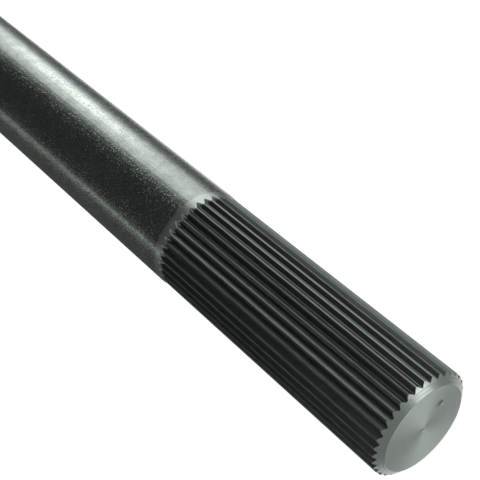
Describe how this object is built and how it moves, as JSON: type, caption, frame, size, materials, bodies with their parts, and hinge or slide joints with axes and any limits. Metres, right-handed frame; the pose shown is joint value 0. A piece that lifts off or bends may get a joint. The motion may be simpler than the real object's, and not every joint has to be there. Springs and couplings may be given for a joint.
{
  "type": "splined shaft",
  "caption": "Solid round steel shaft with a plain ground body and a serrated, chamfered drive end for a clamped or pressed hub.",
  "frame": {"origin": "centre of the plain end's flat face, on the shaft's axis", "axes": "+Z along the shaft's axis towards the splined end; +X through the middle of a crest land of the serration"},
  "size_m": [0.019, 0.019, 0.2033],
  "materials": {
    "bare_steel": "bare machined steel, satin body with fine grain, turned face and chamfer, cut serration"
  },
  "bodies": {
    "root": {"splined_shaft": "bare_steel"}
  },
  "joints": []
}
